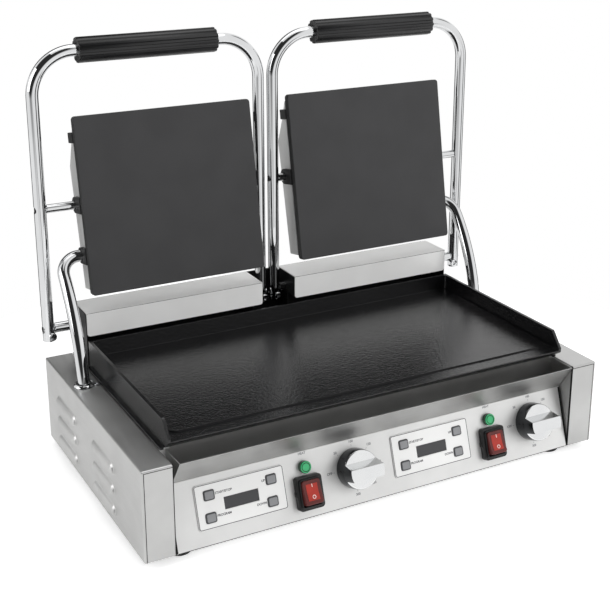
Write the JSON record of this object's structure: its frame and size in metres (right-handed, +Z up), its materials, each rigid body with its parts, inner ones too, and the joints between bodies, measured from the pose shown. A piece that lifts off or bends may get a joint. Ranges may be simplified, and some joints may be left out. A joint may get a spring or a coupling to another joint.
{
  "type": "contact grill",
  "caption": "Double contact grill: stainless base with one wide plate, two hinged lids on U-shaped handle frames, timers, switches and dial knobs.",
  "frame": {"origin": "centre of the bounding box's bottom face, on the counter between the feet", "axes": "+X to the grill's right seen from the front, +Y to its back, +Z up"},
  "size_m": [0.583, 0.3514, 0.4913],
  "materials": {
    "stainless": "brushed",
    "chrome": "polished",
    "knob_chrome": "satin",
    "cast_coated": "matt black coating",
    "black_steel": "satin black",
    "black_plastic": "satin",
    "grip": "fluted, satin",
    "rubber": "matt",
    "overlay": "matt printed film",
    "display": "gloss",
    "green_lens": "translucent",
    "red_rocker": "translucent under a clear boot",
    "grey_button": "satin",
    "spring": "oiled",
    "element": "heat tinted",
    "inner_body": "plain"
  },
  "bodies": {
    "base": {"base_pan": "stainless", "left_side_box": "stainless", "right_side_box": "stainless", "front_fascia": "stainless", "rear_panel": "stainless", "cable_gland": "black_plastic", "lower_plate": "cast_coated", "lower_element": "element", "rear_guard": "black_steel", "front_left_foot": "rubber", "front_right_foot": "rubber", "rear_left_foot": "rubber", "rear_right_foot": "rubber", "left_hinge_cover": "stainless", "left_hinge_bracket": "black_steel", "left_hinge_spring": "spring", "left_conduit_collar": "chrome", "left_timer_panel": "overlay", "left_timer_display": "display", "left_heat_lamp": "green_lens", "left_switch_bezel": "black_plastic", "left_thermostat_body": "inner_body", "right_hinge_cover": "stainless", "right_hinge_bracket": "black_steel", "right_hinge_spring": "spring", "right_conduit_collar": "chrome", "right_timer_panel": "overlay", "right_timer_display": "display", "right_heat_lamp": "green_lens", "right_switch_bezel": "black_plastic", "right_thermostat_body": "inner_body"},
    "tray": {"drip_tray": "stainless"},
    "left_frame": {"left_handle_frame": "chrome", "left_handle_grip": "grip", "left_hinge_shaft": "chrome", "left_pivot_rod": "chrome"},
    "left_lid": {"left_upper_plate": "cast_coated", "left_upper_cover": "stainless", "left_upper_element": "element"},
    "left_conduit": {"left_conduit_tube": "chrome"},
    "left_knob": {"left_thermostat_knob": "knob_chrome"},
    "left_rocker": {"left_switch_rocker": "red_rocker"},
    "left_start_stop": {"left_start_stop_button": "grey_button"},
    "left_program": {"left_program_button": "grey_button"},
    "left_up": {"left_up_button": "grey_button"},
    "left_down": {"left_down_button": "grey_button"},
    "right_frame": {"right_handle_frame": "chrome", "right_handle_grip": "grip", "right_hinge_shaft": "chrome", "right_pivot_rod": "chrome"},
    "right_lid": {"right_upper_plate": "cast_coated", "right_upper_cover": "stainless", "right_upper_element": "element"},
    "right_conduit": {"right_conduit_tube": "chrome"},
    "right_knob": {"right_thermostat_knob": "knob_chrome"},
    "right_rocker": {"right_switch_rocker": "red_rocker"},
    "right_start_stop": {"right_start_stop_button": "grey_button"},
    "right_program": {"right_program_button": "grey_button"},
    "right_up": {"right_up_button": "grey_button"},
    "right_down": {"right_down_button": "grey_button"}
  },
  "joints": [
    {"name": "drip_tray_slide", "type": "slide", "parent": "base", "child": "tray", "axis": [0, -1, 0], "range_m": [0, 0.06]},
    {"name": "left_lid_hinge", "type": "hinge", "parent": "base", "child": "left_frame", "pos_m": [-0.14695, 0.14072, 0.1562], "axis": [1, 0, 0], "range_deg": [0, 90]},
    {"name": "left_plate_tilt", "type": "hinge", "parent": "left_frame", "child": "left_lid", "pos_m": [-0.1344, 0.14072, 0.3007], "axis": [1, 0, 0], "range_deg": [0, 10.5]},
    {"name": "left_conduit_swivel", "type": "hinge", "parent": "left_lid", "child": "left_conduit", "pos_m": [-0.2435, 0.12913, 0.2434], "axis": [1, 0, 0], "range_deg": [-48.3, 0]},
    {"name": "left_knob_turn", "type": "hinge", "parent": "base", "child": "left_knob", "pos_m": [-0.03654, -0.1436, 0.04794], "axis": [0, -0.9484, 0.3171], "range_deg": [-270, 0]},
    {"name": "left_rocker_tilt", "type": "hinge", "parent": "base", "child": "left_rocker", "pos_m": [-0.09633, -0.15255, 0.03849], "axis": [1, 0, 0], "range_deg": [0, 21]},
    {"name": "left_start_stop_press", "type": "slide", "parent": "base", "child": "left_start_stop", "axis": [0, 0.9484, -0.3171], "range_m": [0, 0.001], "stiffness_N_per_m": 400},
    {"name": "left_program_press", "type": "slide", "parent": "base", "child": "left_program", "axis": [0, 0.9484, -0.3171], "range_m": [0, 0.001], "stiffness_N_per_m": 400},
    {"name": "left_up_press", "type": "slide", "parent": "base", "child": "left_up", "axis": [0, 0.9484, -0.3171], "range_m": [0, 0.001], "stiffness_N_per_m": 400},
    {"name": "left_down_press", "type": "slide", "parent": "base", "child": "left_down", "axis": [0, 0.9484, -0.3171], "range_m": [0, 0.001], "stiffness_N_per_m": 400},
    {"name": "right_lid_hinge", "type": "hinge", "parent": "base", "child": "right_frame", "pos_m": [0.14695, 0.14072, 0.1562], "axis": [1, 0, 0], "range_deg": [0, 90]},
    {"name": "right_plate_tilt", "type": "hinge", "parent": "right_frame", "child": "right_lid", "pos_m": [0.1344, 0.14072, 0.3007], "axis": [1, 0, 0], "range_deg": [0, 10.5]},
    {"name": "right_conduit_swivel", "type": "hinge", "parent": "right_lid", "child": "right_conduit", "pos_m": [0.2435, 0.12913, 0.2434], "axis": [1, 0, 0], "range_deg": [-48.3, 0]},
    {"name": "right_knob_turn", "type": "hinge", "parent": "base", "child": "right_knob", "pos_m": [0.20349, -0.1436, 0.04794], "axis": [0, -0.9484, 0.3171], "range_deg": [-270, 0]},
    {"name": "right_rocker_tilt", "type": "hinge", "parent": "base", "child": "right_rocker", "pos_m": [0.1437, -0.15255, 0.03849], "axis": [1, 0, 0], "range_deg": [0, 21]},
    {"name": "right_start_stop_press", "type": "slide", "parent": "base", "child": "right_start_stop", "axis": [0, 0.9484, -0.3171], "range_m": [0, 0.001], "stiffness_N_per_m": 400},
    {"name": "right_program_press", "type": "slide", "parent": "base", "child": "right_program", "axis": [0, 0.9484, -0.3171], "range_m": [0, 0.001], "stiffness_N_per_m": 400},
    {"name": "right_up_press", "type": "slide", "parent": "base", "child": "right_up", "axis": [0, 0.9484, -0.3171], "range_m": [0, 0.001], "stiffness_N_per_m": 400},
    {"name": "right_down_press", "type": "slide", "parent": "base", "child": "right_down", "axis": [0, 0.9484, -0.3171], "range_m": [0, 0.001], "stiffness_N_per_m": 400}
  ],
  "couplings": [
    {"joint": "left_plate_tilt", "follows": "left_lid_hinge", "ratio": 0.11667},
    {"joint": "left_conduit_swivel", "follows": "left_lid_hinge", "ratio": -0.53667},
    {"joint": "right_plate_tilt", "follows": "right_lid_hinge", "ratio": 0.11667},
    {"joint": "right_conduit_swivel", "follows": "right_lid_hinge", "ratio": -0.53667}
  ]
}
